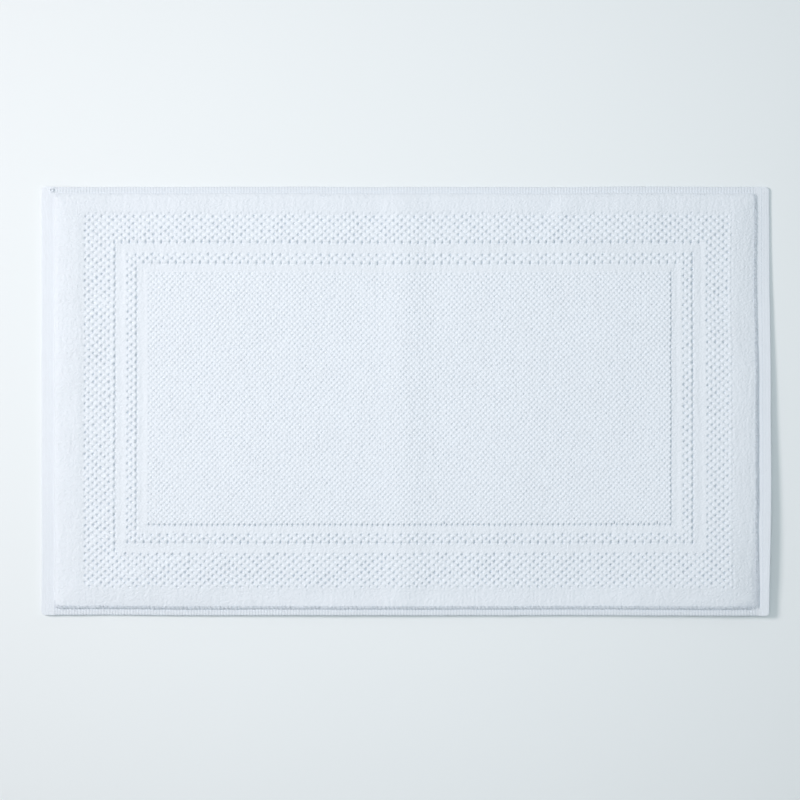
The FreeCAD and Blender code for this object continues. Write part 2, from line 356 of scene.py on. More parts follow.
def slab(name, start, end, step, face, back, coarse=1, facing=1):
    """A closed slab. Its face has a point every step, and its back one for every `coarse` of them.

    face(x, y) gives height and shade, and back(x, y) gives height. The face looks up, or down if
    facing is -1.
    """
    counts = [coarse * max(1, round((end[k] - start[k]) / (step[k] * coarse))) for k in (0, 1)]
    nx, ny = counts
    span = [(end[k] - start[k]) / counts[k] for k in (0, 1)]
    # One extra line of points all round gives the true slope at the edges.
    x, y = np.meshgrid(
        start[0] + span[0] * np.arange(-1, nx + 2), start[1] + span[1] * np.arange(-1, ny + 2),
        indexing="ij")
    z, shade = face(x, y)
    slope_x, slope_y = np.gradient(z, span[0], span[1])
    inner = (slice(1, -1), slice(1, -1))
    normal = np.stack([-slope_x[inner], -slope_y[inner], np.ones((nx + 1, ny + 1))], -1) * facing
    normal = (normal / np.linalg.norm(normal, axis=-1, keepdims=True)).reshape(-1, 3)
    x, y, z, shade = (grid[inner] for grid in (x, y, z, shade))
    face_points = swayed(x, y, z).reshape(-1, 3)
    back_x, back_y = x[::coarse, ::coarse], y[::coarse, ::coarse]
    back_points = swayed(back_x, back_y, back(back_x, back_y)).reshape(-1, 3)
    top = np.arange((nx + 1) * (ny + 1)).reshape(nx + 1, ny + 1)
    under = top.size + np.arange(back_x.size).reshape(back_x.shape)

    def quads(grid):
        return np.stack([grid[:-1, :-1], grid[1:, :-1], grid[1:, 1:], grid[:-1, 1:]], -1).reshape(-1, 4)

    walls = []
    for edge, below in ((top[:, 0], under[:, 0]), (top[-1], under[-1]),
                        (top[::-1, -1], under[::-1, -1]), (top[0, ::-1], under[0, ::-1])):
        for k in range(len(below) - 1):
            rim = edge[k * coarse:(k + 1) * coarse + 1]
            walls.append([below[k], below[k + 1], *rim[::-1]])
    face_quads, back_quads = quads(top), quads(under)[:, ::-1]
    if facing < 0:
        face_quads, back_quads = face_quads[:, ::-1], back_quads[:, ::-1]
        walls = [wall[::-1] for wall in walls]
    loops = np.concatenate([face_quads.ravel(), back_quads.ravel(), np.concatenate(walls)])
    totals = np.array([4] * (len(face_quads) + len(back_quads)) + [len(wall) for wall in walls])
    smooth = np.arange(len(totals)) < len(face_quads)
    normals = np.zeros((len(loops), 3))
    normals[:face_quads.size] = normal[face_quads.ravel()]
    shades = np.concatenate([shade.ravel(), np.full(len(back_points), HIDDEN_SHADE)])
    return mesh_from(name, np.concatenate([face_points, back_points]), loops, totals,
                     normals, smooth, shades)


YARN_PITCH = 0.55 * MM
WEAVE_COLOUR = (0.80, 0.85, 0.905)
# The valley colour is painted shade, for the valleys between the hem's ribs and for hidden faces.
VALLEY_SHADE_COLOUR = (0.62, 0.67, 0.73)


def weave_material():
    """Flat cotton weave: fine crossing yarns, with painted shade a little darker down between the broader
    ribs.
    """
    made, wire, shader = material("flat cotton weave", 0.9, sheen=0.15)
    place = wire.add("ShaderNodeTexCoord", out="Object")
    along = wire.add("ShaderNodeSeparateXYZ", {}, {0: place}, out="X")
    across = along.other("Y")
    yarn = 2 * math.pi / YARN_PITCH
    fibre = wire.add("ShaderNodeTexNoise", {}, {"Vector": place, "Scale": 2200.0, "Detail": 2.0})
    patch = wire.add("ShaderNodeTexNoise", {}, {"Vector": place, "Scale": 45.0, "Detail": 3.0})
    height = (along * yarn).sine() * (across * yarn).sine() * 0.5 + fibre
    bump = wire.add("ShaderNodeBump", {}, {"Strength": 0.5, "Distance": 0.25 * MM, "Height": height})
    rib = wire.add("ShaderNodeAttribute", {"attribute_name": "shade"}, out="Fac")
    lit = blend(wire, patch, tone(WEAVE_COLOUR, 0.98), tone(WEAVE_COLOUR, 1.02))
    colour = blend(wire, rib, tone(VALLEY_SHADE_COLOUR, 1.0), lit)
    colour.feed(shader, "Base Color")
    bump.feed(shader, "Normal")
    return made


weave = weave_material()


def level(height):
    """A surface at one height above the floor, following the way the cloth lies."""
    return lambda x, y: (height + lie(x, y), np.full(x.shape, HIDDEN_SHADE))


ground_mesh = slab(
    "ground weave", ground_low, ground_high, (GROUND_STEP, GROUND_STEP),
    level(ground_high.z), lambda x, y: ground_low.z + lie(x, y))
ground_mesh.materials.append(weave)
ground = finished("ground_weave", ground_mesh, "flat_weave", "ground_cloth")

# ------------------------------------------------------------------ face pile
# Loops of cotton yarn, woven into the ground: highest in the plain border, lowest in the two plain
# bands, and left out in a staggered grid of pits in the lattices and the field. They lean left and
# back, so that a zone's edge is gentle on some sides and a sharp, shadowed groove on the others.
LOOP = 1.58 * MM
pile_low, pile_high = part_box("underside_pile")
ground_top = ground_high.z


def ring_outline(name):
    """Left, right, bottom and top of a ring of four pieces, seen from above."""
    return (
        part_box(name + "_left")[0].x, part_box(name + "_right")[1].x,
        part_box(name + "_bottom")[0].y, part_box(name + "_top")[1].y,
    )


pile_outline = (pile_low.x, pile_high.x, pile_low.y, pile_high.y)
wide_outline = ring_outline("wide_lattice")
middle_outline = ring_outline("middle_band")
narrow_outline = ring_outline("narrow_lattice")
inner_outline = ring_outline("inner_band")
field_low, field_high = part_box("centre_field")
field_outline = (field_low.x, field_high.x, field_low.y, field_high.y)

BORDER_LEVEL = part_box("border_pile_top")[1].z - ground_top
LATTICE_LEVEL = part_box("wide_lattice_top")[1].z - ground_top
BAND_SINK = 0.5 * MM
BAND_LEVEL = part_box("middle_band_top")[1].z - ground_top - BAND_SINK
CORNER = 7 * MM
CROWN = 10 * MM
CROWN_POWER = 2.3
GENTLE = 6.5 * MM
SHARP = 0.8 * MM
BESIDE = 4 * MM


def inside_by(x, y, outline):
    """How far a point is inside a rectangle, negative outside it."""
    left, right, bottom, top = outline
    return np.minimum(np.minimum(x - left, right - x), np.minimum(y - bottom, top - y))


def plateau(x, y, outline, raised, inset):
    """1 inside a rectangle and 0 outside. The sharp edges fall `inset` in from the raised side."""
    left, right, bottom, top = outline
    if raised:
        edges = (
            ease(x - left, -GENTLE, 0.4 * MM), ease(right - x, inset - SHARP, inset + SHARP),
            ease(y - bottom, inset - SHARP, inset + SHARP), ease(top - y, -GENTLE, 0.4 * MM),
        )
    else:
        edges = (
            ease(x - left, -inset - SHARP, SHARP - inset), ease(right - x, 0, GENTLE),
            ease(y - bottom, 0, GENTLE), ease(top - y, -inset - SHARP, SHARP - inset),
        )
    return np.minimum.reduce(edges)


def beside_drop(x, y):
    """How far a point is left of, and above, a zone's sharp edge it lies close to, or 0."""
    left_of, above = np.zeros(x.shape), np.zeros(x.shape)
    for outline, raised in (
        (middle_outline, False), (narrow_outline, True), (inner_outline, False), (field_outline, True),
    ):
        left, right, bottom, top = outline
        gap_x, gap_y = (right - x, y - bottom) if raised else (left - x, y - top)
        within = inside_by(x, y, outline) > -BESIDE
        left_of = np.maximum(left_of, np.where(within & (gap_x > 0) & (gap_x < BESIDE), gap_x, 0))
        above = np.maximum(above, np.where(within & (gap_y > 0) & (gap_y < BESIDE), gap_y, 0))
    return left_of, above


def pits(x, y, origin, pitch, size, strength, last_strength, seed):
    """Depth of a staggered grid of pits, as a share of a full pit's. strength(x, y) scales each pit.

    Beside a sharp edge the pits are even, round-bottomed and tall, as deep as last_strength says,
    and drawn towards the edge.
    """
    rng = np.random.default_rng(seed)
    drift_x, drift_y, growth, fade = rng.uniform(-1, 1, (4, 512, 512))
    u, v = (x - origin[0]) / pitch[0], (y - origin[1]) / pitch[1]
    depth = np.zeros(x.shape)
    for di in (0, 1):
        for dj in (0, 1):
            i, j = np.floor(u).astype(int) + di, np.floor(v).astype(int) + dj
            pick = (i % 512, j % 512)
            centre_x = origin[0] + (i + 0.10 * drift_x[pick]) * pitch[0]
            centre_y = origin[1] + (j + 0.10 * drift_y[pick]) * pitch[1]
            left_of, above = beside_drop(centre_x, centre_y)
            last = (left_of > 0) | (above > 0)
            reach = 1 + 0.12 * growth[pick]
            reach_x = np.where(above > 0, 0.80, np.where(left_of > 0, 0.95, reach))
            reach_y = np.where(above > 0, 1.75, np.where(left_of > 0, 1.65, reach))
            across = (x - centre_x - np.clip(left_of - 2.2 * MM, 0, 1.2 * MM)) / (size[0] * reach_x)
            along = (y - centre_y + np.clip(above - 2.6 * MM, 0, 0.8 * MM)) / (size[1] * reach_y)
            # Ridges cross on both diagonals, so a pit between them is a diamond.
            diamond = 0.72 * (np.abs(across) + np.abs(along))
            far = np.where(last, np.hypot(across, along), diamond)
            pit = ease(1 - far, 0, 1)
            even = last_strength * (0.85 + 0.15 * fade[pick])
            pit = pit * np.where(last, even, 0.72 + 0.28 * fade[pick])
            pit = pit * strength(centre_x, centre_y) * ((i + j) % 2 == 0)
            depth = np.maximum(depth, pit)
    return depth


WIDE_PITCH = (4.75 * MM, 4.25 * MM)
WIDE_PIT = (2.0 * MM, 2.25 * MM)
WIDE_ORIGIN = (wide_outline[0] + 1.2 * MM, wide_outline[3] - 2.2 * MM)
WIDE_DEPTH = 2.6 * MM
NARROW_INSET = 2.37 * MM
NARROW_PITCH = (
    (narrow_outline[1] - narrow_outline[0] - 2 * NARROW_INSET) / 140,
    (narrow_outline[3] - narrow_outline[2] - 2 * NARROW_INSET) / 80)
NARROW_ORIGIN = (narrow_outline[0] + NARROW_INSET, narrow_outline[3] - NARROW_INSET)
FIELD_PITCH = (3.15 * MM, 3.30 * MM)
FIELD_PIT = (1.5 * MM, 1.7 * MM)
FIELD_ORIGIN = (field_outline[0] + 1.6 * MM, field_outline[2] + 1.0 * MM)
FIELD_DEPTH = 1.1 * MM
RIDGE_HEIGHT = 0.30 * MM


def wide_strength(x, y):
    """Full inside the wide lattice, and a faint extra line of pits just outside it."""
    out = inside_by(x, y, wide_outline)
    return ease(out, -4.2 * MM, 0.5 * MM) * (inside_by(x, y, middle_outline) < -0.5 * MM)


def narrow_strength(x, y):
    """Full inside the narrow lattice."""
    return (inside_by(x, y, narrow_outline) > 0.5 * MM) * (inside_by(x, y, inner_outline) < -0.5 * MM)


def field_strength(x, y):
    """Full inside the field."""
    return (inside_by(x, y, field_outline) > 0.2 * MM) * 1.0


def crossing(x, y, origin, pitch):
    """Ridges between the pits on both diagonals. Those that fall to the right are the bolder."""
    u, v = (x - origin[0]) / pitch[0], (y - origin[1]) / pitch[1]
    return -0.75 * np.cos(math.pi * (u + v)) - 0.25 * np.cos(math.pi * (u - v))


LEFT_SLOPE = 9 * MM
FAR_SLOPE = 5 * MM
BAND_INSET = 1.7 * MM
LATTICE_INSET = 2.1 * MM
FIELD_INSET = 1.2 * MM
LOOP_BUMP = 0.05 * MM
UNEVEN = 0.27 * MM
FINE_UNEVEN = 0.24 * MM
BROAD_UNEVEN = 0.09 * MM
STREAK = 0.16 * MM
EDGE_THINNING = 2.1 * MM
EDGE_THINNING_REACH = 34 * MM
NEAR_CORNER_THINNING = 2.0 * MM
FAR_CORNER_THINNING = 1.2 * MM


def zone_level(x, y):
    """Height of the pile in each zone, before its pits, with a slope or a groove at a zone's edge."""
    left, right, bottom, top = wide_outline
    in_wide = np.minimum.reduce([
        ease(x - left, -LEFT_SLOPE, SHARP), ease(right - x, 0, GENTLE),
        ease(y - bottom, 0, GENTLE), ease(top - y, -FAR_SLOPE, SHARP),
    ])
    in_middle = plateau(x, y, middle_outline, False, BAND_INSET)
    in_narrow = plateau(x, y, narrow_outline, True, LATTICE_INSET)
    in_inner = plateau(x, y, inner_outline, False, BAND_INSET)
    in_field = plateau(x, y, field_outline, True, FIELD_INSET)
    height = BORDER_LEVEL + (LATTICE_LEVEL - BORDER_LEVEL) * in_wide
    step = LATTICE_LEVEL - BAND_LEVEL
    return height + step * (in_narrow - in_middle + in_field - in_inner)


def loose_loops(x, y, patterned):
    """Single loops, a little uneven, and faint streaks where rows of them lean together."""
    loops = np.cos(2 * math.pi * x / LOOP) * np.cos(2 * math.pi * y / LOOP)
    height = LOOP_BUMP * loops + UNEVEN * soft_noise(x, y, 1.5 * MM, 31)
    height = height + FINE_UNEVEN * soft_noise(x, y, 0.79 * MM, 32)
    streak = soft_noise(x, y, 2.4 * MM, 33, stretch=6.0)
    height = height + STREAK * (1 - 0.6 * patterned) * streak
    return height + BROAD_UNEVEN * soft_noise(x, y, 7 * MM, 34)


def in_from_outline(x, y):
    """How far a point is in from the pile's outer edge, which is rounded at its corners."""
    left, right, bottom, top = pile_outline
    in_x = np.minimum(x - left, right - x)
    in_y = np.minimum(y - bottom, top - y)
    corner = CORNER - np.hypot(np.minimum(in_x - CORNER, 0), np.minimum(in_y - CORNER, 0))
    edge = np.where((in_x < CORNER) & (in_y < CORNER), corner, np.minimum(in_x, in_y))
    return edge + 0.35 * MM * soft_noise(x, y, 2.5 * MM, 35) * ease(edge, 0.1 * MM, 2 * MM)


def pile_top(x, y):
    """Height of the face pile above the ground weave, and its painted shade: 1 on top, and low in a pit.
    """
    wide = pits(x, y, WIDE_ORIGIN, WIDE_PITCH, WIDE_PIT, wide_strength, 1.15, 21)
    narrow = pits(x, y, NARROW_ORIGIN, NARROW_PITCH, WIDE_PIT, narrow_strength, 1.05, 22)
    field = pits(x, y, FIELD_ORIGIN, FIELD_PITCH, FIELD_PIT, field_strength, 2.3, 23)
    wide_zone = ease(inside_by(x, y, wide_outline), 0, 2 * MM)
    wide_zone = wide_zone * ease(-inside_by(x, y, middle_outline), 0, 1 * MM)
    narrow_zone = ease(inside_by(x, y, narrow_outline), 0, 1 * MM)
    narrow_zone = narrow_zone * ease(-inside_by(x, y, inner_outline), 0, 1 * MM)
    field_zone = ease(inside_by(x, y, field_outline), 0, 1 * MM)
    relief = wide_zone * crossing(x, y, WIDE_ORIGIN, WIDE_PITCH)
    relief = relief + narrow_zone * crossing(x, y, NARROW_ORIGIN, NARROW_PITCH)
    relief = relief + field_zone * crossing(x, y, FIELD_ORIGIN, FIELD_PITCH)
    depth = WIDE_DEPTH * np.maximum(wide, narrow) * (1 + 0.10 * ease(-y, 0.12, 0.18))
    depth = depth + FIELD_DEPTH * field
    patterned = np.maximum.reduce([wide_zone, narrow_zone, field_zone])
    height = zone_level(x, y) + RIDGE_HEIGHT * relief - depth + loose_loops(x, y, patterned)
    # The pile thins towards its outer edge, most at both right corners, and the edge is crowned.
    edge = in_from_outline(x, y)
    height = height - EDGE_THINNING * np.clip(1 - edge / EDGE_THINNING_REACH, 0, 1) ** 2
    height = height - NEAR_CORNER_THINNING * ease(x, 0.375, 0.412) * ease(-y, 0.09, 0.24)
    height = height - FAR_CORNER_THINNING * ease(x, 0.385, 0.414) * ease(y, 0.0, 0.14)
    t = np.clip(1 - edge / CROWN, 0, 1)
    height = height * np.clip(1 - t ** CROWN_POWER, 0, 1) ** (1 / CROWN_POWER)
    # Painted shade darkens its foot on the near side and the right one, where the light doesn't reach it.
    foot = 1 - ease(height, 0.6 * MM, 2.6 * MM)
    foot_weight = np.where(y - pile_low.y < CROWN, 1.1, 0.1)
    right_weight = 0.45 + 0.65 * ease(-y, -0.18, -0.03)
    foot_weight = np.where(pile_high.x - x < CROWN, right_weight, foot_weight)
    # The shade goes into the colour: painted shade in the pits and at the pile's foot.
    shade = 1 - np.maximum.reduce([wide, narrow, 0.75 * field, foot_weight * foot])
    return height, shade


def pile_surface(x, y):
    """Height of the face pile above the floor, and its shade."""
    height, shade = pile_top(x, y)
    return ground_top + height + lie(x, y), shade


def pile_root(x, y):
    """Height of the foot of the pile, on top of the ground weave."""
    return ground_top + lie(x, y)


TERRY_COLOUR = (0.79, 0.84, 0.895)
# The pit colour is painted shade, for the pits and the pile's foot.
PIT_SHADE_COLOUR = (0.63, 0.68, 0.74)


def terry_material(name, lightness):
    """Cotton loops: small round bumps with fine fibres, with painted shade, darker and bluer, down
    between them where the shade attribute is low.
    """
    made, wire, shader = material(name, 0.95, sheen=0.25)
    place = wire.add("ShaderNodeTexCoord", out="Object")
    shade = wire.add("ShaderNodeAttribute", {"attribute_name": "shade"}, out="Fac")
    loops = wire.add("ShaderNodeTexVoronoi", {}, {"Vector": place, "Scale": 1 / LOOP, "Randomness": 0.8})
    fibre = wire.add("ShaderNodeTexNoise", {}, {"Vector": place, "Scale": 1900.0, "Detail": 3.0})
    patch = wire.add("ShaderNodeTexNoise", {}, {"Vector": place, "Scale": 30.0, "Detail": 4.0})
    height = fibre * 0.6 - loops
    bump = wire.add("ShaderNodeBump", {}, {"Strength": 0.35, "Distance": 0.5 * MM, "Height": height})
    lit = blend(wire, patch, tone(TERRY_COLOUR, 0.975 * lightness), tone(TERRY_COLOUR, 1.02 * lightness))
    colour = blend(wire, shade, tone(PIT_SHADE_COLOUR, 1.0), lit)
    colour.feed(shader, "Base Color")
    bump.feed(shader, "Normal")
    return made


# Plain terry is painted 3% darker than the lattice terry, as painted shade of its dense loops.
plain_terry = terry_material("plain terry", 0.97)
lattice_terry = terry_material("lattice terry", 1.0)
field_terry = terry_material("field terry", 1.0)

WIDE_STEP = (WIDE_PITCH[0] / 6, WIDE_PITCH[1] / 6)
FIELD_STEP = (FIELD_PITCH[0] / 4, FIELD_PITCH[1] / 4)
BACK_COARSE = 6
FIELD_PANELS = 4


def pile_piece(name, start, end, step, terry, slot, node):
    """One zone of the face pile as a closed slab that stands on the ground weave."""
    mesh = slab(name, start, end, step, pile_surface, pile_root, coarse=BACK_COARSE)
    mesh.materials.append(terry)
    finished(name, mesh, slot, node)


for ring, terry, slot in (
    ("border_pile", plain_terry, "plain_terry"),
    ("wide_lattice", lattice_terry, "lattice_terry"),
    ("middle_band", plain_terry, "plain_terry"),
    ("narrow_lattice", lattice_terry, "lattice_terry"),
    ("inner_band", plain_terry, "plain_terry"),
):
    for side in ("left", "right", "bottom", "top"):
        node = f"{ring}_{side}"
        pile_piece("terry_" + node, *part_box(node), WIDE_STEP, terry, slot, node)

panel = (field_high.x - field_low.x) / FIELD_PANELS
for k in range(FIELD_PANELS):
    start = (field_low.x + k * panel, field_low.y)
    end = (field_low.x + (k + 1) * panel, field_high.y)
    pile_piece(
        f"terry_centre_field_{k + 1}", start, end, FIELD_STEP, field_terry, "field_terry", "centre_field")

# ------------------------------------------------------------------ loops at the pile's edge
# The pile's last rows of loops aren't held up by others, so they lean out over the hems in small
# arches. They are the same cotton yarn, woven into the ground like the rest. On the left, where
# the pile lies over, only one low row shows.
LOOP_HEIGHT = {"left": 0.7 * MM, "right": 1.5 * MM, "bottom": 1.5 * MM, "top": 1.2 * MM}
LOOP_ROWS = ((1.5 * MM, 0.55), (2.6 * MM, 0.35), (3.8 * MM, 0.15))
LOOP_SPACING = 1.55 * MM
EDGE_BEAD = 4.9 * MM
FACING = {"left": (-1, 0), "right": (1, 0), "bottom": (0, -1), "top": (0, 1)}
SIDES = tuple(FACING)


def loop_tree():
    """Geometry Nodes: arches of yarn along a line, which lean out from it by uneven amounts."""
    tree = bpy.data.node_groups.new("terry loops", "GeometryNodeTree")
    tree.interface.new_socket("Edge", in_out="INPUT", socket_type="NodeSocketGeometry")
    for name in ("Spacing", "Loop height", "Lean", "Bead", "Bead share"):
        tree.interface.new_socket(name, in_out="INPUT", socket_type="NodeSocketFloat")
    tree.interface.new_socket("Seed", in_out="INPUT", socket_type="NodeSocketInt")
    tree.interface.new_socket("Yarn", in_out="INPUT", socket_type="NodeSocketMaterial")
    tree.interface.new_socket("Loops", in_out="OUTPUT", socket_type="NodeSocketGeometry")
    wire = Wire(tree)
    given = tree.nodes.new("NodeGroupInput")
    edge, spacing, height, lean, bead, share, seed, yarn = (
        Wire(tree, given.outputs[k]) for k in range(8))
    line = wire.add("GeometryNodeMeshToCurve", {}, {"Mesh": edge})
    points = wire.add(
        "GeometryNodeCurveToPoints", {"mode": "LENGTH"}, {"Curve": line, "Length": spacing})
    arch = wire.add("GeometryNodeCurveArc", {"mode": "RADIUS"}, {
        "Resolution": 6, "Radius": 0.5, "Start Angle": -0.45, "Sweep Angle": math.pi + 0.9})
    arch = wire.add("GeometryNodeTransform", {}, {
        "Geometry": arch, "Rotation": (math.pi / 2, 0.0, 0.0), "Scale": (1.0, 1.9, 1.0)})
    ring = wire.add(
        "GeometryNodeCurvePrimitiveCircle", {"mode": "RADIUS"}, {"Resolution": 3, "Radius": 0.25})
    cord = wire.add("GeometryNodeCurveToMesh", {}, {"Curve": arch, "Profile Curve": ring})
    cord = wire.add("GeometryNodeSetShadeSmooth", {}, {"Geometry": cord})
    spin = wire.add(
        "FunctionNodeRandomValue", {"data_type": "FLOAT"}, {2: -0.9, 3: 0.9, "Seed": seed}, out=1)
    tilt = wire.add(
        "FunctionNodeRandomValue", {"data_type": "FLOAT"},
        {2: lean - 0.3, 3: lean + 0.3, "Seed": seed + 1}, out=1)
    grow = wire.add(
        "FunctionNodeRandomValue", {"data_type": "FLOAT"}, {2: 0.85, 3: 1.15, "Seed": seed + 2}, out=1)
    along = wire.add("ShaderNodeSeparateXYZ", {}, {0: wire.add("GeometryNodeInputPosition")}, out="X")
    beaded = share * (along * bead).cosine() + 1
    twist = wire.add("ShaderNodeCombineXYZ", {}, {"X": tilt, "Y": 0.0, "Z": spin})
    stand = wire.add(
        "FunctionNodeAlignRotationToVector", {"axis": "X"}, {"Vector": points.other("Tangent")})
    turned = wire.add("FunctionNodeRotateRotation", {"rotation_space": "LOCAL"}, {
        "Rotation": stand, "Rotate By": wire.add("FunctionNodeEulerToRotation", {}, {0: twist})})
    row = wire.add("GeometryNodeInstanceOnPoints", {}, {
        "Points": points, "Instance": cord, "Rotation": turned, "Scale": grow * height * beaded})
    solid = wire.add("GeometryNodeRealizeInstances", {}, {"Geometry": row})
    dressed = wire.add("GeometryNodeSetMaterial", {}, {"Geometry": solid, "Material": yarn})
    dressed.feed(tree.nodes.new("NodeGroupOutput"), 0)
    return tree


def grown(name, tree, path, **inputs):
    """Runs a Geometry Nodes tree on a line of points and keeps the result as a plain mesh."""
    line_mesh = bpy.data.meshes.new(name + " line")
    line_mesh.from_pydata(
        [tuple(point) for point in path], [(k, k + 1) for k in range(len(path) - 1)], [])
    carrier = bpy.data.objects.new(name + " line", line_mesh)
    scene.collection.objects.link(carrier)
    modifier = carrier.modifiers.new("grow", "NODES")
    modifier.node_group = tree
    for item in tree.interface.items_tree:
        if item.in_out == "INPUT" and item.name in inputs:
            modifier[item.identifier] = inputs[item.name]
    evaluated = carrier.evaluated_get(bpy.context.evaluated_depsgraph_get())
    mesh = bpy.data.meshes.new_from_object(evaluated)
    mesh.name = name
    bpy.data.objects.remove(carrier)
    return mesh


def edge_path(side, inset):
    """Points along one side of the pile, `inset` in from its outline, with half of each corner."""
    face = np.array(FACING[side], float)
    run = np.array((-face[1], face[0]))
    half = np.array((pile_outline[1], pile_outline[3])) - CORNER
    out, reach = abs(half @ face), abs(half @ run)
    turn = np.linspace(0, math.pi / 4, 6)[:, None]
    radius = CORNER - inset
    corner = radius * (np.cos(turn) * face + np.sin(turn) * run)
    mirrored = radius * (np.cos(turn) * face - np.sin(turn) * run)
    straight = np.linspace(-reach, reach, round(2 * reach / (4 * MM)))[1:-1, None] * run
    path = np.concatenate([
        (out * face - reach * run + mirrored)[::-1], out * face + radius * face + straight,
        out * face + reach * run + corner])
    x, y = path.T
    return swayed(x, y, pile_surface(x, y)[0] - 0.55 * LOOP_HEIGHT[side])


terry_loops = loop_tree()
for side in SIDES:
    rows = LOOP_ROWS[:1] if side == "left" else LOOP_ROWS
    for row, (inset, lean) in enumerate(rows):
        mesh = grown(
            f"edge_loops_{side}_{row + 1}", terry_loops, edge_path(side, inset),
            **{"Spacing": LOOP_SPACING, "Loop height": LOOP_HEIGHT[side], "Lean": lean,
               "Bead": 2 * math.pi / EDGE_BEAD, "Bead share": 0.22 if side == "bottom" else 0.0,
               "Seed": 60 + row, "Yarn": plain_terry})
        # A little painted shade on the loops.
        mesh.attributes.new("shade", "FLOAT", "POINT").data.foreach_set(
            "value", np.full(len(mesh.vertices), 0.85))
        finished(f"edge_loops_{side}_{row + 1}", mesh, "plain_terry")

# ------------------------------------------------------------------ underside pile
# Short loops on the back of the cloth, pressed down by the mat's own weight. Where the face has
# a pit its loops come out here instead, so the underside carries the same pattern in reverse.
UNDERSIDE_STEP = 3.5 * MM
PRESS = 0.35 * MM
PATTERN_PRESS = 0.30 * MM


def underside_surface(x, y):
    """Height and shade of the pressed loops, lowest under the pits of the face."""
    shade = pile_top(x, y)[1]
    press = PRESS * (0.5 + 0.5 * soft_noise(x, y, 3 * MM, 41)) + PATTERN_PRESS * shade
    return press * ease(inside_by(x, y, pile_outline), 0, 3 * MM) + lie(x, y), 0.8 + 0.2 * shade


underside_terry = terry_material("underside terry", 0.98)
underside_mesh = slab(
    "underside pile", pile_low, pile_high, (UNDERSIDE_STEP, UNDERSIDE_STEP),
    underside_surface, lambda x, y: pile_high.z + lie(x, y), coarse=4, facing=-1)
underside_mesh.materials.append(underside_terry)
underside = finished("terry_underside", underside_mesh, "underside_terry", "underside_pile")

# ------------------------------------------------------------------ hems
# Round the pile the cloth is woven flat, with a rib every few yarns. It is folded under twice
# and sewn down: wide hems at the two short sides, narrow ones along the long sides. The side
# hems are folded last, so they run the full width and close the corners.
RIB = 3.45 * MM
RIB_HEIGHT = {"left": 0.12 * MM, "right": 0.12 * MM, "bottom": 0.26 * MM, "top": 0.30 * MM}
RIB_SHADE = {"left": 0.04, "right": 0.04, "bottom": 0.28, "top": 0.20}
CLOTH = ground_high.z - ground_low.z
HALF_SKIN = 0.49
HEM_CORNER = 4.6 * MM
CORNER_RUN = 8 * MM
HEM_DIP = {"left": 0.0, "right": 1.1 * MM, "bottom": 1.2 * MM, "top": 0.3 * MM}
DIP_WIDTH = 1.1 * MM
DIP_END = 9 * MM
NARROW_STEP = 1.1 * MM


def hem_section(width, height, step):
    """Middle line of the folded cloth, from the pile out, round the outer fold and back inside.

    Each point is out from the pile, up from the floor, and the direction that the cloth runs in.
    """
    turn = (height - CLOTH) / 2
    small = CLOTH / 2 + 0.03 * MM
    outer_x = width - height / 2
    inner_x = small + CLOTH / 2 + 0.4 * MM
    points = []
    for out in np.linspace(-1.5 * MM, outer_x, max(5, round(outer_x / step))):
        points.append((out, height - CLOTH / 2, 0.0))
    for angle in np.linspace(0, math.pi, 8)[1:]:
        points.append((outer_x + turn * math.sin(angle), height / 2 + turn * math.cos(angle), -angle))
    for out in np.linspace(outer_x, inner_x, max(4, round(outer_x / step / 2)))[1:]:
        points.append((out, CLOTH / 2, -math.pi))
    for angle in np.linspace(0, math.pi, 5)[1:]:
        points.append((inner_x - small * math.sin(angle), CLOTH / 2 + small * (1 - math.cos(angle)),
                       -math.pi - angle))
    for out in np.linspace(inner_x, outer_x - 0.8 * MM, 4)[1:]:
        points.append((out, CLOTH / 2 + 2 * small, -2 * math.pi))
    return np.array(points)


